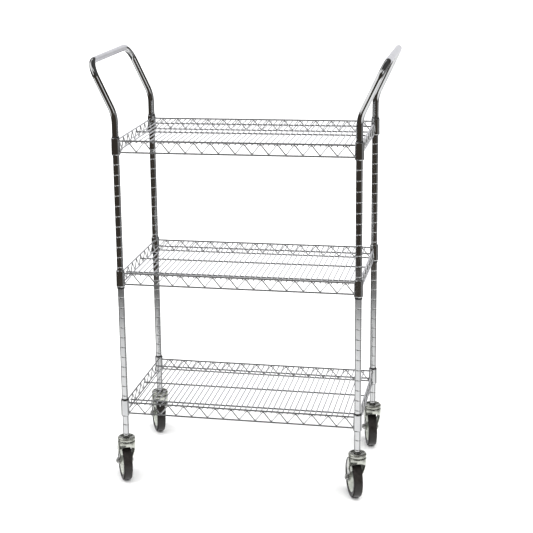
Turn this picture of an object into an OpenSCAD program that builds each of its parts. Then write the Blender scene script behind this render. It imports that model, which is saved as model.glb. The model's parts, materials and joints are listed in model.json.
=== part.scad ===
// Three-tier wire-shelf trolley on four swivel casters.
// The origin is on the floor, under the middle of the four posts.
// X runs from left to right, Y from front to back, Z up.

/* [Frame] */
// Distance between the left and right post centres
post_span_x = 579; // [500:1:700]
// Distance between the front and back post centres
post_span_y = 335; // [300:1:420]
// Outside diameter of the post tube
post_d = 16; // [15:0.5:17]
// Wall thickness of the post tube
post_wall = 1.2; // [1:0.1:1.4]
// Height of the handle bar's centre line
handle_h = 1064; // [1050:1:1100]
// Outward lean of the handles, in degrees
handle_lean = 25; // [20:1:32]
// Radius of the corners between the handle legs and the handle bar
handle_corner_r = 40; // [30:1:45]

/* [Shelves] */
// Spacing of the ring grooves on the posts
groove_pitch = 25.4; // [25:0.1:25.4]
// Height that the groove spacings are counted from
groove_base = -12; // [-14:0.5:-10]
// Height of the bottom shelf, in groove spacings
bottom_step = 9; // [9:1:11]
// Height of the middle shelf, in groove spacings
middle_step = 22; // [20:1:24]
// Height of the top shelf, in groove spacings
top_step = 35; // [34:1:35]
// How much higher the middle shelf has wedged on its sleeves
middle_lift = 4; // [0:0.5:6]
// Diameter of the rim wires
rim_d = 4; // [3.5:0.1:4.5]
// Distance between the upper and lower rim wires
rim_gap = 27.5; // [24:0.5:30]
// Diameter of the zigzag wires
zigzag_d = 2.8; // [2.4:0.1:3]
// Target length of one zigzag
zigzag_pitch = 40; // [36:1:46]
// Diameter of the mat wires
mat_d = 2.8; // [2.2:0.1:3]
// Mat wires to each zigzag
mats_per_zigzag = 3; // [2:1:3]
// Diameter of the three rails that carry the mat
rail_d = 4; // [3.5:0.1:4.5]
// Distance of the outer rails from the middle rail
rail_offset = 129; // [100:1:135]

/* [Casters] */
// Diameter of the wheels
wheel_d = 100; // [90:1:102]
// Width of the tyres
tyre_w = 22; // [20:1:24]
// Distance from the swivel axis to the axle
trail = 32; // [28:1:36]
// Way the front left wheel trails, in degrees from straight back
front_left_heading = 26; // [-180:1:180]
// Way the front right wheel trails, in degrees from straight back
front_right_heading = 20; // [-180:1:180]
// Way the rear left wheel trails, in degrees from straight back
rear_left_heading = 25; // [-180:1:180]
// Way the rear right wheel trails, in degrees from straight back
rear_right_heading = 14; // [-180:1:180]

/* [Hidden] */

$fn = 48;

// Gap between solids that are welded together or pressed into each other
seat_gap = 0.05;
// Gap between solids that turn or slide against each other
run_gap = 0.3;
// Bends are this much thinner than the straight lengths that lap over their ends
bend_thinning = 0.03;
// Length of that lap
bend_lap = 0.3;

// Posts
post_r = post_d / 2;
bore_r = post_r - post_wall;
post_bottom = wheel_d + 28;
bend_bottom = 919;
bend_r = 90;
lean_length = (handle_h - bend_bottom - bend_r * sin(handle_lean)) / cos(handle_lean);
handle_reach = bend_r * (1 - cos(handle_lean)) + lean_length * sin(handle_lean);
groove_depth = 0.5;
groove_w = 2;
// Each groove lies this far below its shelf's rim wire
groove_drop = 5.8;
first_groove = ceil((post_bottom + 8 - groove_base) / groove_pitch);

// Sleeves and collars, with heights measured from the shelf's upper rim wire
sleeve_top = 11;
sleeve_bottom = -34;
sleeve_top_r = post_r + 0.9;
sleeve_bottom_r = post_r + 1.3;
sleeve_draft = 0.02;
collar_top = 8;
collar_bottom = -33;
collar_wall = 1.2;
collar_chamfer = 0.8;
collar_bore_top_r = sleeve_top_r + run_gap;
collar_bore_bottom_r = sleeve_bottom_r + run_gap;
collar_top_r = collar_bore_top_r + collar_wall;
collar_bottom_r = collar_bore_bottom_r + collar_wall;
collar_r = (collar_top_r + collar_bottom_r) / 2;

// Shelf wires
rim_r = rim_d / 2;
zigzag_r = zigzag_d / 2;
mat_r = mat_d / 2;
rail_r = rail_d / 2;
zigzag_bend_r = 3.5;
mat_z = -(rim_r + mat_r + seat_gap);
weld_sink = 0.3;
rail_z = mat_z - mat_r - rail_r + weld_sink;
rim_span_x = post_span_x - 2 * collar_r;

// Casters, with heights measured from the floor
wheel_r = wheel_d / 2;
tyre_inner_r = wheel_r - 12.5;
tyre_edge_r = 4.5;
hub_hole_r = 6.05;
fork_plate = 2.5;
fork_top = wheel_d + 17;
fork_skirt_bottom = wheel_d + 5;
fork_r = 22;
fork_end_r = 10.5;
fork_end_w = tyre_w + 8;
cap_bottom = fork_top + 0.7;
cap_top = post_bottom - 1;
cap_edge_r = 4.5;
ball_r = 2;
ball_circle_r = 15;
ball_count = 18;
kingpin_r = 4;
stem_r = 5.5;
stem_top = post_bottom + 36;
bolt_r = 4;
nut_across_flats = 13;
nut_h = 6.5;
head_h = 5.3;

STEEL = [0.78, 0.78, 0.77];
CHROME = [0.86, 0.87, 0.88];
ZINC = [0.72, 0.73, 0.70];
BLACK = [0.08, 0.08, 0.08];
HUB_GREY = [0.74, 0.76, 0.72];

module at_posts() {
    for (x = [-1, 1], y = [-1, 1])
        translate([x * post_span_x / 2, y * post_span_y / 2, 0]) children();
}

// ---------- posts ----------

function groove_z(step) = groove_base + step * groove_pitch;

// Half section of a post's straight part, grooved on the outside
module post_section() {
    grooves = [for (k = [first_groove : top_step]) groove_z(k) - groove_drop];
    polygon(concat(
        [[bore_r, post_bottom], [post_r, post_bottom]],
        [for (z = grooves, p = [[0, -groove_w / 2], [groove_depth, -groove_w / 4],
                                [groove_depth, groove_w / 4], [0, groove_w / 2]])
            [post_r - p[0], z + p[1]]],
        [[post_r, bend_bottom + bend_lap], [bore_r, bend_bottom + bend_lap]]
    ));
}

// A bent tube that starts at the origin along +Z and curves towards +X
module tube_bend(radius, angle) {
    translate([radius, 0, 0]) rotate([90, 0, 180])
        rotate_extrude(angle = angle) translate([radius, 0]) difference() {
            circle(r = post_r - bend_thinning);
            circle(r = bore_r + bend_thinning);
        }
}

// A straight tube along Z that laps over the bends at its ends
module tube(from, to) {
    translate([0, 0, from - bend_lap]) linear_extrude(to - from + 2 * bend_lap) difference() {
        circle(r = post_r);
        circle(r = bore_r);
    }
}

// One leg of a handle, for the front right corner
module handle_leg() {
    rotate_extrude() post_section();
    translate([0, 0, bend_bottom]) {
        tube_bend(bend_r, handle_lean);
        translate([handle_reach, 0, handle_h - bend_bottom]) rotate([0, handle_lean, 0]) {
            tube(-lean_length, -handle_corner_r);
            translate([0, 0, -handle_corner_r]) rotate([0, 0, 90]) tube_bend(handle_corner_r, 90);
        }
    }
}

// Two posts and their handle, bent from one tube, for the right side
module handle_post() {
    half_bar = post_span_y / 2 - handle_corner_r;
    color(CHROME) translate([post_span_x / 2, 0, 0]) {
        for (side = [0, 1]) mirror([0, side, 0])
            translate([0, -post_span_y / 2, 0]) handle_leg();
        translate([handle_reach, 0, handle_h]) rotate([90, 0, 0]) tube(-half_bar, half_bar);
    }
}

// The insert in each post's lower end that holds a caster's stem
module post_sockets() {
    flange = 1;
    color(STEEL) at_posts() translate([0, 0, post_bottom - flange]) rotate_extrude()
        polygon([
            [stem_r + seat_gap, 0], [post_r, 0], [post_r, flange - seat_gap],
            [bore_r - seat_gap, flange - seat_gap], [bore_r - seat_gap, 38],
            [stem_r + seat_gap, 38]
        ]);
}

// One half of a tapered sleeve, with the rib that sits in a post's groove
module sleeve_half() {
    rib_r = post_r - groove_depth + 0.1;
    inner = post_r + seat_gap;
    rotate([0, 0, 1]) rotate_extrude(angle = 178) polygon([
        [inner + sleeve_draft, sleeve_bottom], [sleeve_bottom_r, sleeve_bottom],
        [sleeve_top_r, sleeve_top], [inner + sleeve_draft, sleeve_top],
        [inner, -groove_drop + 0.8], [rib_r, -groove_drop + 0.4],
        [rib_r, -groove_drop - 0.4], [inner, -groove_drop - 0.8]
    ]);
}

module post_sleeves() {
    color(BLACK) at_posts() for (step = [bottom_step, middle_step, top_step], turn = [0, 180])
        translate([0, 0, groove_z(step)]) rotate([0, 0, turn]) sleeve_half();
}

// ---------- shelves, drawn with the upper rim wire's centre at z = 0 ----------

// Tapered ring that wedges onto a pair of sleeve halves
module collar() {
    rotate_extrude() polygon([
        [collar_bore_bottom_r, collar_bottom],
        [collar_bottom_r - collar_chamfer, collar_bottom],
        [collar_bottom_r, collar_bottom + 2 * collar_chamfer],
        [collar_top_r, collar_top - collar_chamfer],
        [collar_top_r - collar_chamfer / 2, collar_top],
        [collar_bore_top_r, collar_top]
    ]);
}

module rod_x(radius, length) {
    rotate([0, 90, 0]) cylinder(r = radius, h = length, center = true);
}

// Slope of the zigzag's straight runs, found by repeated substitution
function zigzag_slope(height, half_pitch, slope = 45, rounds = 12) =
    rounds == 0 ? slope :
    zigzag_slope(height, half_pitch,
        atan((height + 2 * zigzag_bend_r * (1 / cos(slope) - 1)) / half_pitch), rounds - 1);

// One zigzag wire along X, from corner to corner, that just clears the rim wires
module zigzag(span) {
    count = round(span / zigzag_pitch);
    half_pitch = span / count / 2;
    height = rim_gap - 2 * (rim_r + zigzag_r + seat_gap);
    slope = zigzag_slope(height, half_pitch);
    corner_h = half_pitch * tan(slope);
    run = half_pitch / cos(slope) - 2 * zigzag_bend_r * tan(slope);
    for (i = [0 : 2 * count - 1])
        translate([(i + 0.5) * half_pitch - span / 2, 0, -rim_gap / 2])
            rotate([0, i % 2 == 0 ? 90 - slope : 90 + slope, 0])
                cylinder(r = zigzag_r, h = run + 2 * bend_lap, center = true);
    for (i = [0 : 2 * count])
        translate([i * half_pitch - span / 2, 0, -rim_gap / 2]) mirror([0, 0, (i + 1) % 2])
            translate([0, 0, corner_h / 2 - zigzag_bend_r / cos(slope)])
                rotate([90, slope - 90, 0])
                    rotate_extrude(angle = 2 * slope) translate([zigzag_bend_r, 0])
                        circle(r = zigzag_r - bend_thinning);
}

// Two rim wires and the zigzag between them, cut to fit the collars
module truss(post_span) {
    span = post_span - 2 * collar_r;
    difference() {
        union() {
            rod_x(rim_r, post_span);
            translate([0, 0, -rim_gap]) rod_x(rim_r, post_span);
            zigzag(span);
        }
        for (side = [-1, 1]) translate([side * post_span / 2, 0, collar_bottom])
            cylinder(r1 = collar_bottom_r + seat_gap, r2 = collar_top_r + seat_gap,
                h = collar_top - collar_bottom);
    }
}

// The wires that run from front to back, welded to three rails below them
module wire_mat() {
    count = mats_per_zigzag * round(rim_span_x / zigzag_pitch);
    pitch = rim_span_x / count;
    for (i = [1 : count - 1])
        translate([i * pitch - rim_span_x / 2, 0, mat_z]) rotate([90, 0, 0])
            cylinder(r = mat_r, h = post_span_y + rim_d - 1, center = true);
    for (y = [-1, 0, 1]) translate([0, y * rail_offset, rail_z])
        rod_x(rail_r, post_span_x - 2 * zigzag_d);
}

function shelf_z(shelf) =
    shelf == "top" ? groove_z(top_step) :
    shelf == "middle" ? groove_z(middle_step) + middle_lift :
    groove_z(bottom_step);

// One piece of a shelf, at that shelf's height
module shelf_piece(shelf, piece) {
    color(CHROME) translate([0, 0, shelf_z(shelf)]) {
        if (piece == "front") translate([0, -post_span_y / 2, 0]) truss(post_span_x);
        if (piece == "back") translate([0, post_span_y / 2, 0]) truss(post_span_x);
        if (piece == "left")
            translate([-post_span_x / 2, 0, 0]) rotate([0, 0, 90]) truss(post_span_y);
        if (piece == "right")
            translate([post_span_x / 2, 0, 0]) rotate([0, 0, 90]) truss(post_span_y);
        if (piece == "mat") wire_mat();
        if (piece == "collars") at_posts() collar();
    }
}

// ---------- casters, drawn with the swivel axis at x = y = 0 and the axle behind it ----------

// Stem in the post's socket, with the kingpin that is riveted over under the fork
module stem() {
    rivet_r = 7;
    rivet_top = fork_top - fork_plate - run_gap;
    color(STEEL) rotate_extrude() polygon([
        [0, rivet_top - 3], [rivet_r - 1.5, rivet_top - 3], [rivet_r, rivet_top - 1.5],
        [rivet_r, rivet_top], [kingpin_r, rivet_top], [kingpin_r, cap_top],
        [stem_r, cap_top], [stem_r, stem_top - 2], [stem_r - 2, stem_top], [0, stem_top]
    ]);
}

// Domed cap that holds the balls down on the fork
module race_cap() {
    hub_r = 10;
    groove_top = fork_top + 2 * ball_r + run_gap;
    color(ZINC) rotate_extrude() difference() {
        union() {
            translate([kingpin_r + seat_gap, cap_bottom])
                square([fork_r - kingpin_r - seat_gap, cap_top - cap_edge_r - cap_bottom]);
            translate([kingpin_r + seat_gap, cap_bottom])
                square([fork_r - cap_edge_r - kingpin_r - seat_gap, cap_top - cap_bottom]);
            translate([fork_r - cap_edge_r, cap_top - cap_edge_r]) circle(r = cap_edge_r);
        }
        translate([hub_r, cap_bottom - 1])
            square([fork_r - 3 - hub_r, groove_top - cap_bottom + 1]);
    }
}

module balls() {
    color(STEEL) for (i = [1 : ball_count]) rotate([0, 0, i * 360 / ball_count])
        translate([ball_circle_r, 0, fork_top + ball_r + seat_gap]) sphere(r = ball_r);
}

// A solid that spans from the swivel head down to the axle, narrow at the bottom
module fork_form(head_r, head_bottom, head_top, end_r, end_w) {
    narrow_z = wheel_r + fork_end_r + 2;
    side = [
        [end_w / 2, 0], [end_w / 2, narrow_z], [end_w / 2 + 3.6, narrow_z + 15],
        [head_r - 1.2, fork_skirt_bottom - 16], [head_r, fork_skirt_bottom], [head_r, head_top + 1]
    ];
    intersection() {
        hull() {
            translate([0, 0, head_bottom]) cylinder(r = head_r, h = head_top - head_bottom);
            translate([0, trail, wheel_r]) rod_x(end_r, 2 * head_r);
        }
        rotate([90, 0, 0]) linear_extrude(4 * wheel_d, center = true)
            polygon(concat(side, [for (i = [len(side) - 1 : -1 : 0]) [-side[i][0], side[i][1]]]));
    }
}

// Pressed fork: a skirted head and two legs, open between them at the front and the back
module fork() {
    leg_inside = fork_end_w / 2 - fork_plate;
    arch_r = 17.5;
    arch_z = fork_skirt_bottom - arch_r;
    color(ZINC) difference() {
        fork_form(fork_r, fork_skirt_bottom, fork_top, fork_end_r, fork_end_w);
        fork_form(fork_r - fork_plate, fork_skirt_bottom - 12, fork_top - fork_plate,
            fork_end_r + 4, 2 * leg_inside);
        rotate([90, 0, 0]) linear_extrude(4 * wheel_d, center = true) {
            translate([0, arch_z]) circle(r = arch_r);
            polygon([
                [-leg_inside, 0], [leg_inside, 0], [leg_inside, wheel_r + fork_end_r],
                [arch_r, arch_z], [-arch_r, arch_z], [-leg_inside, wheel_r + fork_end_r]
            ]);
        }
        translate([0, 0, fork_top - 2 * fork_plate])
            cylinder(r = kingpin_r + 0.08, h = 3 * fork_plate);
        translate([0, trail, wheel_r]) rod_x(bolt_r + seat_gap, 2 * fork_end_w);
    }
}

module at_axle() {
    translate([0, trail, wheel_r]) rotate([0, 90, 0]) children();
}

module axle_bolt() {
    end = fork_end_w / 2 + seat_gap;
    color(STEEL) at_axle() {
        translate([0, 0, end]) cylinder(d = nut_across_flats / cos(30), h = head_h, $fn = 6);
        translate([0, 0, -end - nut_h - 2]) cylinder(r = bolt_r, h = 2 * end + nut_h + 2);
    }
}

module axle_nut() {
    color(STEEL) at_axle() translate([0, 0, -fork_end_w / 2 - seat_gap - nut_h]) difference() {
        cylinder(d = nut_across_flats / cos(30), h = nut_h, $fn = 6);
        translate([0, 0, -1]) cylinder(r = bolt_r + seat_gap, h = nut_h + 2);
    }
}

// Bush that the wheel turns on, clamped between the fork's legs
module axle_sleeve() {
    color(STEEL) at_axle() difference() {
        cylinder(r = hub_hole_r - 0.05, h = fork_end_w - 2 * fork_plate - 2 * seat_gap, center = true);
        cylinder(r = bolt_r + seat_gap, h = fork_end_w, center = true);
    }
}

// Moulded wheel centre: a boss, a web and a rim
module hub() {
    rim = tyre_inner_r - seat_gap;
    rim_w = tyre_w / 2 - 1.5;
    boss_w = tyre_w / 2 + 1;
    color(HUB_GREY) at_axle() rotate_extrude() polygon([
        [hub_hole_r, -boss_w], [12, -boss_w], [13.5, -3.5], [rim - 5, -3.5],
        [rim - 3.5, -rim_w], [rim, -rim_w], [rim, rim_w], [rim - 3.5, rim_w],
        [rim - 5, 3.5], [13.5, 3.5], [12, boss_w], [hub_hole_r, boss_w]
    ]);
}

module tyre() {
    half_w = tyre_w / 2;
    color(BLACK) at_axle() rotate_extrude() {
        translate([tyre_inner_r, -half_w + 1]) square([wheel_r - tyre_edge_r - tyre_inner_r, tyre_w - 2]);
        translate([wheel_r - 2 * tyre_edge_r, -half_w + tyre_edge_r])
            square([2 * tyre_edge_r, tyre_w - 2 * tyre_edge_r]);
        for (side = [-1, 1]) translate([wheel_r - tyre_edge_r, side * (half_w - tyre_edge_r)])
            circle(r = tyre_edge_r);
    }
}

// One piece of a caster, under its post and turned to its heading
module caster_piece(corner, piece) {
    place = corner == "front_left" ? [-1, -1, front_left_heading] :
        corner == "front_right" ? [1, -1, front_right_heading] :
        corner == "rear_left" ? [-1, 1, rear_left_heading] :
        [1, 1, rear_right_heading];
    translate([place[0] * post_span_x / 2, place[1] * post_span_y / 2, 0])
        rotate([0, 0, place[2]]) {
            if (piece == "stem") stem();
            if (piece == "race_cap") race_cap();
            if (piece == "balls") balls();
            if (piece == "fork") fork();
            if (piece == "axle_bolt") axle_bolt();
            if (piece == "axle_nut") axle_nut();
            if (piece == "axle_sleeve") axle_sleeve();
            if (piece == "hub") hub();
            if (piece == "tyre") tyre();
        }
}

// ---------- nodes ----------

mirror([1, 0, 0]) handle_post();  // left_handle_post
handle_post();  // right_handle_post
post_sockets();
post_sleeves();

for (shelf = ["top", "middle", "bottom"]) {
    for (piece = ["front", "back", "left", "right"])
        shelf_piece(shelf, piece);
    shelf_piece(shelf, "mat");
    shelf_piece(shelf, "collars");
}

for (corner = ["front_left", "front_right", "rear_left", "rear_right"])
    for (piece = ["stem", "race_cap", "balls", "fork", "axle_bolt", "axle_nut",
                  "axle_sleeve", "hub", "tyre"])
        caster_piece(corner, piece);
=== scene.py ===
import json
import math
from itertools import product

import bmesh
import bpy
from mathutils import Matrix, Vector


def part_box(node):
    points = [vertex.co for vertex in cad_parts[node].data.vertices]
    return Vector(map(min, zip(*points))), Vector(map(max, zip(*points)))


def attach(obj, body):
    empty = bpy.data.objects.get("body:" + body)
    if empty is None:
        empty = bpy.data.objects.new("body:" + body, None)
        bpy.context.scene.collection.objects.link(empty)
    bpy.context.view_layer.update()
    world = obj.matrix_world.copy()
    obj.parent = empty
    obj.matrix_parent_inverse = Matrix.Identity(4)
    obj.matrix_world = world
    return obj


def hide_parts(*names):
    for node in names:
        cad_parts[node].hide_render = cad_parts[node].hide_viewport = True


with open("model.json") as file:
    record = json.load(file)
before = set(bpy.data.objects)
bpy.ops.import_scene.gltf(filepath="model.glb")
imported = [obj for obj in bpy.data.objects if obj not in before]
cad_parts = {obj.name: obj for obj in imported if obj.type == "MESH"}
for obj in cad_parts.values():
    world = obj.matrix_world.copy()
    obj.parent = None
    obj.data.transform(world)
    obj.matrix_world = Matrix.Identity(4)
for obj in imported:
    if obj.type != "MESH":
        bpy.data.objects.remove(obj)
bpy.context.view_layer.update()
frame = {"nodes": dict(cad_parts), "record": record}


def middle(node):
    """Centre of a CAD node's box."""
    low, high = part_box(node)
    return [(a + b) / 2 for a, b in zip(low, high)]


POST_R = 0.008
HALF_X = middle("front_right_stem")[0]
HALF_Y = middle("rear_left_stem")[1]
POST_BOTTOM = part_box("right_handle_post")[0][2]
BEND_BOTTOM = 0.919
BEND_R = 0.090
LEAN = math.radians(25)
BAR_CORNER_R = 0.040
BAR_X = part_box("right_handle_post")[1][0] - POST_R
BAR_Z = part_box("right_handle_post")[1][2] - POST_R

GROOVE_PITCH = 0.0254
GROOVE_DROP = 0.0058
# Half widths of a ring groove and the post's radius there
GROOVE_PROFILE = [(0.0016, POST_R), (0.0012, POST_R), (0.0010, 0.00796), (0.0006, 0.00768),
                  (0.0003, 0.0076)]

SHELVES = ["top", "middle", "bottom"]
RIM_R = 0.002
RIM_GAP = 0.0275
ZIGZAG_R = 0.0014
ZIGZAG_BEND_R = 0.0035
ZIGZAG_PITCH = 0.040
MAT_R = 0.0014
MATS_PER_ZIGZAG = 3
RAIL_R = 0.002
RAIL_OFFSET = 0.129
COLLAR_R = 0.0106
WELD_GAP = 0.00005


def rim_z(shelf):
    """Height of the centre of a shelf's upper rim wires."""
    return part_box(f"{shelf}_shelf_front_truss")[1][2] - RIM_R


# ---------- meshes ----------
def loft(rings, closed=False):
    """Points and faces of a skin over rings that each have the same number of points."""
    n, count = len(rings[0]), len(rings)
    faces = []
    for i in range(count if closed else count - 1):
        a, b = i * n, (i + 1) % count * n
        faces += [(a + j, a + (j + 1) % n, b + (j + 1) % n, b + j) for j in range(n)]
    if not closed:
        faces += [tuple(range(n)), tuple(range((count - 1) * n, count * n))]
    return [Vector(p) for ring in rings for p in ring], faces


def tube(path, radii, sides=12):
    """A round tube along path. radii is one radius or one for each point."""
    path = [Vector(p) for p in path]
    if not isinstance(radii, list):
        radii = [radii] * len(path)
    across = (path[1] - path[0]).orthogonal().normalized()
    rings = []
    for i, (point, radius) in enumerate(zip(path, radii)):
        along = (path[min(i + 1, len(path) - 1)] - path[max(i - 1, 0)]).normalized()
        across = (across - along * across.dot(along)).normalized()
        other = along.cross(across)
        rings.append([point + radius * (across * math.cos(a) + other * math.sin(a))
                      for a in (math.tau * j / sides for j in range(sides))])
    return loft(rings)


def rod(start, end, radius, sides=12, chamfer=0.0002):
    """A straight round bar with softened ends."""
    start, end = Vector(start), Vector(end)
    step = (end - start).normalized() * chamfer
    return tube([start, start + step, start + 2 * step, end - 2 * step, end - step, end],
                [radius - chamfer, radius, radius, radius, radius, radius - chamfer], sides)


def lathe(profile, sides=48):
    """A closed profile of (radius, height) points turned about Z."""
    angles = [math.tau * j / sides for j in range(sides)]
    rings = [[(r * math.cos(a), r * math.sin(a), z) for a in angles] for r, z in profile]
    return loft(rings, closed=True)


def moved(shape, matrix):
    points, faces = shape
    return [matrix @ p for p in points], faces


def add_piece(node, shapes, sharp=35):
    """One object, made of several shapes, that stands for a CAD node."""
    mesh = bpy.data.meshes.new(node)
    points, faces = [], []
    for shape_points, shape_faces in shapes:
        faces += [tuple(i + len(points) for i in face) for face in shape_faces]
        points += shape_points
    mesh.from_pydata([tuple(p) for p in points], [], faces)
    bm = bmesh.new()
    bm.from_mesh(mesh)
    bmesh.ops.recalc_face_normals(bm, faces=bm.faces)
    bm.to_mesh(mesh)
    bm.free()
    mesh.shade_smooth()
    mesh.set_sharp_from_angle(angle=math.radians(sharp))
    obj = bpy.data.objects.new(node + "_shape", mesh)
    bpy.context.collection.objects.link(obj)
    mesh.materials.append(MATERIALS[SLOT_OF[node]])
    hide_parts(node)
    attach(obj, BODY_OF[node])
    return obj


# ---------- materials ----------
def material(name, colors, scale, rough, metallic=0.0, bump=0.0, painted_shade_reach=0.0):
    """Blends two colours and two roughnesses by a noise of that scale, with a fine bump of the same
    noise. Where the last argument is set, ambient occlusion paints shade into the base colour of corners
    that are shut in closer than that distance."""
    made = bpy.data.materials.new(name)
    made.use_nodes = True
    nodes, links = made.node_tree.nodes, made.node_tree.links
    shader = nodes["Principled BSDF"]
    place = nodes.new("ShaderNodeTexCoord")
    noise = nodes.new("ShaderNodeTexNoise")
    noise.inputs["Scale"].default_value = scale
    noise.inputs["Detail"].default_value = 4
    links.new(place.outputs["Object"], noise.inputs["Vector"])
    ramp = nodes.new("ShaderNodeValToRGB")
    for stop, where, color in zip(ramp.color_ramp.elements, (0.3, 0.7), colors):
        stop.position, stop.color = where, (*color, 1)
    links.new(noise.outputs["Fac"], ramp.inputs["Fac"])
    color = ramp.outputs["Color"]
    # Painted shade: ambient occlusion darkens the base colour in shut-in corners and gaps, such as inside
    # the fork's legs.
    if painted_shade_reach:
        painted_shade_occlusion = nodes.new("ShaderNodeAmbientOcclusion")
        painted_shade_occlusion.samples = 8
        painted_shade_occlusion.inputs["Distance"].default_value = painted_shade_reach
        links.new(color, painted_shade_occlusion.inputs["Color"])
        painted_shade_gamma = nodes.new("ShaderNodeGamma")
        painted_shade_gamma.inputs["Gamma"].default_value = 2.2
        links.new(painted_shade_occlusion.outputs["Color"], painted_shade_gamma.inputs["Color"])
        color = painted_shade_gamma.outputs["Color"]
    links.new(color, shader.inputs["Base Color"])
    spread = nodes.new("ShaderNodeMapRange")
    spread.inputs["From Min"].default_value, spread.inputs["From Max"].default_value = 0.3, 0.7
    spread.inputs["To Min"].default_value, spread.inputs["To Max"].default_value = rough
    links.new(noise.outputs["Fac"], spread.inputs["Value"])
    links.new(spread.outputs["Result"], shader.inputs["Roughness"])
    shader.inputs["Metallic"].default_value = metallic
    if bump:
        lift = nodes.new("ShaderNodeBump")
        lift.inputs["Strength"].default_value = bump
        lift.inputs["Distance"].default_value = 0.0002
        links.new(noise.outputs["Fac"], lift.inputs["Height"])
        links.new(lift.outputs["Normal"], shader.inputs["Normal"])
    return made


MATERIALS = {
    "chrome_tube": material("chrome_tube", [(0.74, 0.75, 0.76), (0.84, 0.845, 0.85)], 40, (0.03, 0.08),
                            metallic=1),
    "chrome_wire": material("chrome_wire", [(0.70, 0.71, 0.72), (0.82, 0.825, 0.83)], 90, (0.06, 0.14),
                            metallic=1),
    # The zinc gets painted shade in its shut-in corners, such as inside the fork's legs.
    "zinc_plate": material("zinc_plate", [(0.84, 0.85, 0.81), (0.90, 0.91, 0.87)], 150, (0.14, 0.26),
                           metallic=0.95, bump=0.05, painted_shade_reach=0.02),
    "plated_steel": material("plated_steel", [(0.62, 0.62, 0.61), (0.76, 0.76, 0.74)], 200, (0.2, 0.35),
                             metallic=0.85, bump=0.05),
    "sleeve_plastic": material("sleeve_plastic", [(0.008, 0.008, 0.009), (0.02, 0.02, 0.02)], 300,
                               (0.3, 0.45), bump=0.2),
    "hub_plastic": material("hub_plastic", [(0.56, 0.59, 0.53), (0.66, 0.68, 0.62)], 120, (0.35, 0.5),
                            bump=0.2),
    "tyre_rubber": material("tyre_rubber", [(0.009, 0.008, 0.007), (0.024, 0.020, 0.018)], 180,
                            (0.3, 0.5), bump=0.2),
}
SLOT_OF = {part["node"]: part["material_slot"] for part in frame["record"]["subparts"]}
BODY_OF = {node: body for body, names in frame["record"]["behaviour"]["bodies"].items() for node in names}
for node, obj in frame["nodes"].items():
    obj.data.materials.clear()
    obj.data.materials.append(MATERIALS[SLOT_OF[node]])


# ---------- posts and handles ----------
def handle_post(side):
    """One bent tube: up a front post, over the handle bar and down the rear post."""
    path, radii = [(HALF_X, POST_BOTTOM)], [POST_R]
    # The ring grooves, counted down from the top shelf
    shelf_top = rim_z("top")
    grooves = int((shelf_top - POST_BOTTOM - 0.008) / GROOVE_PITCH)
    for k in range(grooves, -1, -1):
        z = shelf_top - GROOVE_DROP - k * GROOVE_PITCH
        below = [(z - half_width, radius) for half_width, radius in GROOVE_PROFILE]
        above = [(z + half_width, radius) for half_width, radius in reversed(GROOVE_PROFILE)]
        path += [(HALF_X, ring_z) for ring_z, _ in below + above]
        radii += [radius for _, radius in below + above]
    # The bend outwards
    steps = 12
    for i in range(steps + 1):
        a = LEAN * i / steps
        path.append((HALF_X + BEND_R * (1 - math.cos(a)), BEND_BOTTOM + BEND_R * math.sin(a)))
    # The corner into the handle bar, in the leaning plane
    leg = [Vector((x, -HALF_Y, z)) for x, z in path]
    up = Vector((math.sin(LEAN), 0, math.cos(LEAN)))
    back = Vector((0, 1, 0))
    centre = Vector((BAR_X, -HALF_Y, BAR_Z)) + BAR_CORNER_R * (back - up)
    for i in range(steps + 1):
        a = math.pi / 2 * i / steps
        leg.append(centre + BAR_CORNER_R * (up * math.sin(a) - back * math.cos(a)))
    radii += [POST_R] * (len(leg) - len(radii))
    whole = leg + [Vector((p.x, -p.y, p.z)) for p in reversed(leg)]
    whole = [Vector((side * p.x, p.y, p.z)) for p in whole]
    return tube(whole, radii + radii[::-1], sides=40)


add_piece("left_handle_post", [handle_post(-1)])
add_piece("right_handle_post", [handle_post(1)])


# ---------- shelves ----------
def slope_of(height, half_pitch):
    """Slope of a zigzag's straight runs, found by repeated substitution."""
    slope = math.radians(45)
    for _ in range(12):
        slope = math.atan((height + 2 * ZIGZAG_BEND_R * (1 / math.cos(slope) - 1)) / half_pitch)
    return slope


def zigzag_path(span):
    """Centre line of a zigzag wire along X, with its low turns at the ends."""
    count = round(span / ZIGZAG_PITCH)
    half_pitch = span / count / 2
    height = RIM_GAP - 2 * (RIM_R + ZIGZAG_R)
    slope = slope_of(height, half_pitch)
    path, steps = [], 6
    for i in range(2 * count + 1):
        up = 1 if i % 2 else -1
        centre = -RIM_GAP / 2 + up * (height / 2 - ZIGZAG_BEND_R)
        first, last = (0 if i == 0 else -steps), (0 if i == 2 * count else steps)
        for j in range(first, last + 1):
            a = slope * j / steps
            path.append((i * half_pitch - span / 2 + ZIGZAG_BEND_R * math.sin(a), 0,
                         centre + up * ZIGZAG_BEND_R * math.cos(a)))
    return path


def truss(half_span):
    """Two rim wires and a zigzag wire along X, between collars at both ends."""
    end = half_span - COLLAR_R + 0.0003
    return [rod((-end, 0, z), (end, 0, z), RIM_R, 16) for z in (0, -RIM_GAP)] + [
        tube(zigzag_path(2 * (half_span - COLLAR_R)), ZIGZAG_R, 12)]


def mat_and_rails():
    """Cross wires under the front and back rims, on three rails along X."""
    span = 2 * (HALF_X - COLLAR_R)
    count = MATS_PER_ZIGZAG * round(span / ZIGZAG_PITCH)
    mat_z = -(RIM_R + MAT_R + WELD_GAP)
    rail_z = mat_z - MAT_R - RAIL_R + 0.0003
    end = HALF_Y + RIM_R - 0.0005
    shapes = []
    for i in range(1, count):
        x = i * span / count - span / 2
        shapes.append(rod((x, -end, mat_z), (x, end, mat_z), MAT_R))
    for y in (-RAIL_OFFSET, 0, RAIL_OFFSET):
        shapes.append(rod((-HALF_X + 0.0028, y, rail_z), (HALF_X - 0.0028, y, rail_z), RAIL_R, 16))
    return shapes


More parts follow.
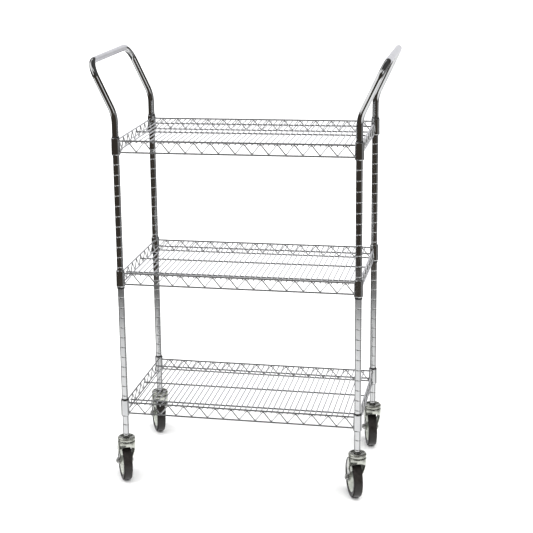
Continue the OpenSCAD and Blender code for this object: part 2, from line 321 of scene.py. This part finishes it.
# Radius and height of points round a collar's wall, from the rim wires' centre
COLLAR_PROFILE = [(0.0096, -0.0328), (0.0098, -0.0330), (0.0101, -0.0330), (0.0105, -0.0325),
                  (0.01076, -0.0319), (0.01079, -0.0314), (0.01078, -0.0304), (0.01042, 0.0062),
                  (0.01041, 0.0069), (0.0103, 0.0074), (0.0100, 0.0079), (0.0096, 0.0080),
                  (0.0094, 0.0080), (0.0092, 0.0077)]

for shelf in SHELVES:
    lift = Matrix.Translation((0, 0, rim_z(shelf)))
    for name, y in (("front", -HALF_Y), ("back", HALF_Y)):
        place = lift @ Matrix.Translation((0, y, 0))
        add_piece(f"{shelf}_shelf_{name}_truss", [moved(s, place) for s in truss(HALF_X)])
    for name, x in (("left", -HALF_X), ("right", HALF_X)):
        place = lift @ Matrix.Translation((x, 0, 0)) @ Matrix.Rotation(math.pi / 2, 4, "Z")
        add_piece(f"{shelf}_shelf_{name}_truss", [moved(s, place) for s in truss(HALF_Y)])
    add_piece(f"{shelf}_shelf_wire_mat", [moved(s, lift) for s in mat_and_rails()])
    add_piece(f"{shelf}_shelf_collars",
              [moved(lathe(COLLAR_PROFILE), lift @ Matrix.Translation((x, y, 0)))
               for x, y in product((-HALF_X, HALF_X), (-HALF_Y, HALF_Y))])


# ---------- casters ----------
# These lengths are in millimetres. The swivel axis is at x = y = 0, and the axle is behind it.
WHEEL_R = 50.0
TRAIL = 32.0
HEAD_R = 22.0
HEAD_TOP = 117.0
SKIRT_BOTTOM = 105.0
CAP_BOTTOM = 117.7
CAP_TOP = POST_BOTTOM * 1000 - 1
PLATE = 2.5
LEG_END_R = 10.5
LEG_END_HALF_W = 15.0
ARCH_R = 17.5
AXLE_R = 4.0
NUT_FLATS = 13.0
NUT_H = 6.5
HEAD_H = 5.3
MM = Matrix.Scale(0.001, 4)


def arc(centre_r, centre_z, radius, start, end, steps=5):
    """Profile points on an arc, with angles in degrees from the outward direction."""
    angles = [math.radians(start + (end - start) * i / steps) for i in range(steps + 1)]
    return [(centre_r + radius * math.cos(a), centre_z + radius * math.sin(a)) for a in angles]


def ring(radius, place, sides=72):
    """Points of a circle that place moves from the XY plane."""
    return [place @ Vector((radius * math.cos(a), radius * math.sin(a), 0))
            for a in (math.tau * j / sides for j in range(sides))]


def solid(points, faces=None):
    """A mesh object for cutting with. Without faces it is the points' convex hull."""
    bm = bmesh.new()
    corners = [bm.verts.new(p) for p in points]
    if faces:
        for face in faces:
            bm.faces.new([corners[i] for i in face])
    else:
        hull = bmesh.ops.convex_hull(bm, input=corners)
        left_over = hull["geom_interior"] + hull["geom_unused"]
        spare = {v for v in left_over if isinstance(v, bmesh.types.BMVert)}
        bmesh.ops.delete(bm, geom=list(spare), context="VERTS")
        bmesh.ops.dissolve_limit(bm, angle_limit=0.001, verts=bm.verts, edges=bm.edges)
    bmesh.ops.recalc_face_normals(bm, faces=bm.faces)
    mesh = bpy.data.meshes.new("solid")
    bm.to_mesh(mesh)
    bm.free()
    made = bpy.data.objects.new("solid", mesh)
    bpy.context.collection.objects.link(made)
    return made


def prism(outline, half_length):
    """A straight solid with an (x, z) outline, along Y."""
    n = len(outline)
    points = [Vector((x, y, z)) for y in (-half_length, half_length) for x, z in outline]
    faces = [(i, (i + 1) % n, n + (i + 1) % n, n + i) for i in range(n)]
    return solid(points, faces + [tuple(range(n)), tuple(range(n, 2 * n))])


def cut(target, operation, tool):
    """Applies a boolean to target and removes the tool."""
    change = target.modifiers.new("cut", "BOOLEAN")
    change.operation, change.object, change.solver = operation, tool, "EXACT"
    graph = bpy.context.evaluated_depsgraph_get()
    mesh = bpy.data.meshes.new_from_object(target.evaluated_get(graph))
    target.modifiers.clear()
    target.data = mesh
    bpy.data.objects.remove(tool)


def on_axle(x):
    """Placing of a circle or a turned piece on the axle, at x along it."""
    return Matrix.Translation((x, TRAIL, WHEEL_R)) @ Matrix.Rotation(math.pi / 2, 4, "Y")


def fork_form(head_r, edge_r, bottom, top, end_r, end_half_w):
    """A solid from the rounded swivel head down to the axle, narrow at the bottom."""
    points = []
    for r, z in [(head_r, bottom)] + arc(head_r - edge_r, top - edge_r, edge_r, 0, 90):
        points += ring(r, Matrix.Translation((0, 0, z)))
    for x in (-head_r, head_r):
        points += ring(end_r, on_axle(x))
    form = solid(points)
    narrow_z = WHEEL_R + LEG_END_R + 2
    side = [(end_half_w, 0), (end_half_w, narrow_z), (end_half_w + 2, narrow_z + 7),
            (end_half_w + 3.7, narrow_z + 15), (head_r - 2, SKIRT_BOTTOM - 22),
            (head_r - 1, SKIRT_BOTTOM - 14), (head_r + 0.1, SKIRT_BOTTOM), (head_r + 0.1, top + 1)]
    cut(form, "INTERSECT", prism(side + [(-x, z) for x, z in reversed(side)], 100))
    return form


def fork_shape():
    """Pressed fork: a skirted head and two legs, open between them at the front and the back."""
    form = fork_form(HEAD_R, 3.5, SKIRT_BOTTOM, HEAD_TOP, LEG_END_R, LEG_END_HALF_W)
    inside = LEG_END_HALF_W - PLATE
    cut(form, "DIFFERENCE",
        fork_form(HEAD_R - PLATE, 2, SKIRT_BOTTOM - 12, HEAD_TOP - PLATE, LEG_END_R + 4, inside))
    arch_z = SKIRT_BOTTOM - ARCH_R
    arch = [(inside, 0), (inside, WHEEL_R + LEG_END_R)] + arc(0, arch_z, ARCH_R, 0, 90, 16)
    cut(form, "DIFFERENCE", prism(arch + [(-x, z) for x, z in reversed(arch)][1:], 100))
    axle = ring(AXLE_R, on_axle(-30), 32)
    cut(form, "DIFFERENCE", solid(axle + [p + Vector((60, 0, 0)) for p in axle]))
    pin = ring(AXLE_R + 0.1, Matrix.Translation((0, 0, HEAD_TOP - 10)), 32)
    cut(form, "DIFFERENCE", solid(pin + [p + Vector((0, 0, 20)) for p in pin]))
    bm = bmesh.new()
    bm.from_mesh(form.data)
    bmesh.ops.remove_doubles(bm, verts=bm.verts, dist=0.01)
    sharp = [e for e in bm.edges if e.is_manifold and e.calc_face_angle() > math.radians(40)]
    bmesh.ops.bevel(bm, geom=sharp, offset=0.45, segments=2, profile=0.5, affect="EDGES",
                    clamp_overlap=True)
    points = [v.co.copy() for v in bm.verts]
    faces = [tuple(v.index for v in f.verts) for f in bm.faces]
    bm.free()
    bpy.data.objects.remove(form)
    return points, faces


def hexagon(flats, bottom, top, hole_r, chamfered_bottom):
    """A hexagonal nut or bolt head with turned corners, along Z."""
    sides, rim = 72, 0.95 * flats / 2

    def outline(a):
        return flats / 2 / math.cos((a + math.pi / 6) % (math.pi / 3) - math.pi / 6)

    angles = [math.tau * j / sides for j in range(sides)]
    drops = [(outline(a) - rim) * math.tan(math.radians(30)) for a in angles]

    def level(radii, heights):
        return [(r * math.cos(a), r * math.sin(a), z) for a, r, z in zip(angles, radii, heights)]

    outer = [outline(a) for a in angles]
    rings = [level([hole_r] * sides, [bottom] * sides)]
    if chamfered_bottom:
        rings += [level([rim] * sides, [bottom] * sides), level(outer, [bottom + d for d in drops])]
    else:
        rings += [level(outer, [bottom] * sides)]
    rings += [level(outer, [top - d for d in drops]), level([rim] * sides, [top] * sides),
              level([hole_r] * sides, [top] * sides)]
    return loft(rings, closed=True)


def race_cap_shape():
    """Dished cap with a rounded rim, over the balls."""
    return lathe([(8.4, CAP_TOP - 2.2), (13, CAP_TOP - 2.0), (15, CAP_TOP - 1.4), (16.4, CAP_TOP - 0.4)]
                 + arc(17.9, CAP_TOP - 4.1, 4.1, 90, 0, 6)
                 + [(22, CAP_BOTTOM + 1.2)] + arc(21.4, CAP_BOTTOM + 0.6, 0.6, 0, -90, 3)
                 + [(19, CAP_BOTTOM), (19, CAP_TOP - 5), (8.4, CAP_TOP - 5)], 72)


def tyre_shape():
    """Tread with rounded shoulders and a step on each sidewall."""
    half_w, inner, shoulder = 11.0, 37.5, 2.8
    side = [(inner, half_w - 1.2), (inner + 0.5, half_w - 0.8), (inner + 2.2, half_w - 0.8),
            (inner + 2.6, half_w - 0.3), (inner + 3.4, half_w), (WHEEL_R - shoulder - 0.5, half_w)]
    side += arc(WHEEL_R - shoulder, half_w - shoulder, shoulder, 90, 0, 7)
    side += [(WHEEL_R, 1.2), (WHEEL_R, 0.5), (WHEEL_R, 0.22)]
    return lathe(side + [(r, -z) for r, z in reversed(side)], 96)


def hub_shape():
    """Moulded wheel centre: a boss, a dished web and a rim."""
    side = [(6.2, 12.0), (9.5, 12.0), (10.8, 11.6), (11.4, 10.6), (12.4, 5.4), (13.6, 4.0),
            (15.2, 3.5), (29.0, 3.5), (31.2, 4.2), (32.6, 6.0), (33.8, 8.6), (34.6, 9.3), (35.6, 9.5),
            (36.8, 9.5), (37.4, 9.1)]
    return lathe(side + [(r, -z) for r, z in reversed(side)], 96)


def bolt_shapes():
    """Hexagon bolt through the legs, with its threaded end on the nut's side."""
    end = LEG_END_HALF_W + 0.05
    tip = -end - NUT_H - 2
    thread = [(AXLE_R - (0.45 if i % 2 else 0.0), tip + 0.6 + 0.6 * i) for i in range(16)]
    shank = [(0.001, tip), (AXLE_R - 0.7, tip), *thread, (AXLE_R, tip + 11), (AXLE_R, end), (0.001, end)]
    return [lathe(shank, 32), hexagon(NUT_FLATS, end, end + HEAD_H, 0.5, False)]


def nut_shape():
    """Hexagon nut that bears on the other leg."""
    end = -LEG_END_HALF_W - 0.05
    return hexagon(NUT_FLATS, end - NUT_H, end, AXLE_R + 0.05, True)


CASTER = {
    "race_cap": [race_cap_shape()],
    "fork": [fork_shape()],
    "axle_bolt": [moved(shape, on_axle(0)) for shape in bolt_shapes()],
    "axle_nut": [moved(nut_shape(), on_axle(0))],
    "hub": [moved(hub_shape(), on_axle(0))],
    "tyre": [moved(tyre_shape(), on_axle(0))],
}
for joint in frame["record"]["behaviour"]["joints"]:
    if not joint["name"].endswith("_wheel_spin"):
        continue
    corner = joint["name"].removesuffix("_wheel_spin")
    x, y, _ = middle(f"{corner}_stem")
    heading = math.atan2(joint["axis"][1], joint["axis"][0])
    place = Matrix.Translation((x, y, 0)) @ Matrix.Rotation(heading, 4, "Z") @ MM
    for piece, shapes in CASTER.items():
        add_piece(f"{corner}_{piece}", [moved(shape, place) for shape in shapes])


# ---------- studio ----------
def add_camera():
    """A long lens in front of the trolley and to its right, a little higher than the handles."""
    data = bpy.data.cameras.new("camera")
    camera = bpy.data.objects.new("camera", data)
    bpy.context.collection.objects.link(camera)
    data.lens, data.sensor_width = 95.087, 36
    data.shift_x, data.shift_y = 0.1758, -0.0281
    turn = (Matrix.Rotation(math.radians(14.415), 4, "Z")
            @ Matrix.Rotation(math.radians(90 - 14.642), 4, "X")
            @ Matrix.Rotation(math.radians(-1.552), 4, "Z"))
    camera.matrix_world = Matrix.Translation((0.65793, -3.33557, 1.46523)) @ turn
    bpy.context.scene.camera = camera


def add_sun(direction, strength, spread):
    """A very soft light that the chrome doesn't mirror: it mirrors the world instead."""
    data = bpy.data.lights.new("soft_light", "SUN")
    data.energy, data.angle = strength, math.radians(spread)
    light = bpy.data.objects.new("soft_light", data)
    bpy.context.collection.objects.link(light)
    light.rotation_euler = Vector(direction).to_track_quat("-Z", "Y").to_euler()
    light.visible_glossy = False


def add_floor():
    mesh = bpy.data.meshes.new("floor")
    half = 30
    corners = [(-half, -half, 0), (half, -half, 0), (half, half, 0), (-half, half, 0)]
    mesh.from_pydata(corners, [], [(0, 1, 2, 3)])
    floor = bpy.data.objects.new("floor", mesh)
    bpy.context.collection.objects.link(floor)
    mesh.materials.append(material("floor", [(0.86, 0.86, 0.86), (0.9, 0.9, 0.9)], 3, (0.8, 0.9)))
    floor.visible_glossy = False


def node(tree, kind, *values, **settings):
    """Adds a shader node. values are numbers, colours or sockets, for its inputs in order."""
    made = tree.nodes.new(kind)
    for name, value in settings.items():
        setattr(made, name, value)
    for socket, value in zip(made.inputs, values):
        if isinstance(value, bpy.types.NodeSocket):
            tree.links.new(value, socket)
        elif value is not None:
            socket.default_value = value
    return made


def ramp(tree, value, stops):
    """Colour blended between stops of (value, colour)."""
    made = node(tree, "ShaderNodeValToRGB", value)
    elements = made.color_ramp.elements
    while len(elements) < len(stops):
        elements.new(1)
    for element, (where, color) in zip(elements, stops):
        element.position, element.color = where, (*color, 1)
    return made.outputs[0]


def grey(level, warmth=0.0):
    return (level * (1 + warmth), level, level * (1 - warmth))


def step(tree, value, start, end):
    """0 where value is start, 1 where it is end, and smooth between them."""
    return node(tree, "ShaderNodeMapRange", value, start, end, 0, 1,
                interpolation_type="SMOOTHSTEP").outputs[0]


def times(tree, a, b):
    return node(tree, "ShaderNodeMath", a, b, operation="MULTIPLY").outputs[0]


def mixed(tree, factor, a, b):
    """Colour a where factor is 0 and b where it is 1."""
    made = node(tree, "ShaderNodeMix", factor, data_type="RGBA")
    for socket, value in ((made.inputs[6], a), (made.inputs[7], b)):
        if isinstance(value, bpy.types.NodeSocket):
            tree.links.new(value, socket)
        else:
            socket.default_value = (*value, 1)
    return made.outputs[2]


def add_world():
    """The camera sees plain white. The chrome sees a studio: a white sweep behind and on the floor, a
    band of light above, two small lamps in front and a dark room round them."""
    world = bpy.data.worlds.new("studio")
    bpy.context.scene.world = world
    world.use_nodes = True
    tree = world.node_tree
    tree.nodes.clear()
    direction = node(tree, "ShaderNodeTexCoord").outputs["Generated"]

    def along(axis):
        return node(tree, "ShaderNodeVectorMath", direction, axis, operation="DOT_PRODUCT").outputs["Value"]

    # How far a direction points up, away from the camera and to the camera's right, from -1 to 1
    height, away, right = along((0, 0, 1)), along((-0.2, 0.98, 0)), along((0.98, 0.2, 0))
    heights = [(-1.0, grey(0.95)), (-0.35, grey(0.95)), (-0.31, grey(0.8)), (-0.288, grey(0.3)),
               (-0.27, grey(0.035, 0.2)), (0.62, grey(0.03, 0.1)), (0.70, grey(0.7)), (0.80, grey(0.7)),
               (0.86, grey(0.05))]
    halved = node(tree, "ShaderNodeMath", height, 0.5, 0.5, operation="MULTIPLY_ADD").outputs[0]
    level = ramp(tree, halved, [(z / 2 + 0.5, color) for z, color in heights])
    # Dark flags at the upper right and the lower left, which falling wires mirror
    skew, steep = times(tree, height, right), times(tree, height, height)
    shade = times(tree, step(tree, skew, -0.05, 0.12), step(tree, steep, 0.2, 0.3))
    level = mixed(tree, shade, level, grey(0.06))
    # Grey on the right and a dark room on the left
    side = times(tree, step(tree, right, 0.7, 1.0), step(tree, height, 0.35, 0.1))
    level = mixed(tree, side, level, grey(0.22))
    dark = times(tree, step(tree, right, -0.55, -0.85), step(tree, away, -0.1, 0.3))
    level = mixed(tree, dark, level, grey(0.03))
    # A soft box at the upper left, which rising wires mirror
    left_lamp = times(tree, step(tree, right, -0.62, -0.74), step(tree, height, 0.12, 0.22))
    level = mixed(tree, left_lamp, level, grey(0.95))
    # The white sweep behind
    sweep = times(tree, step(tree, away, 0.78, 0.92), step(tree, height, 0.5, 0.3))
    level = mixed(tree, sweep, level, (0.78, 0.775, 0.81))
    # The small lamps in front, which the handles' leaning tubes mirror
    for lamp in ((0.74, -0.62, 0.3), (-0.66, -0.74, 0.22)):
        near = step(tree, along(Vector(lamp).normalized()), 0.978, 0.988)
        level = mixed(tree, near, level, grey(1))
    room = node(tree, "ShaderNodeBackground", level)
    white = node(tree, "ShaderNodeBackground", (1, 1, 1, 1))
    path = node(tree, "ShaderNodeLightPath").outputs["Is Camera Ray"]
    choice = node(tree, "ShaderNodeMixShader", path, room.outputs[0], white.outputs[0])
    node(tree, "ShaderNodeOutputWorld", choice.outputs[0])
    bpy.context.scene.view_settings.view_transform = "Standard"


add_camera()
add_floor()
add_world()
add_sun((-0.2, 0.35, -1), 5.6, 90)
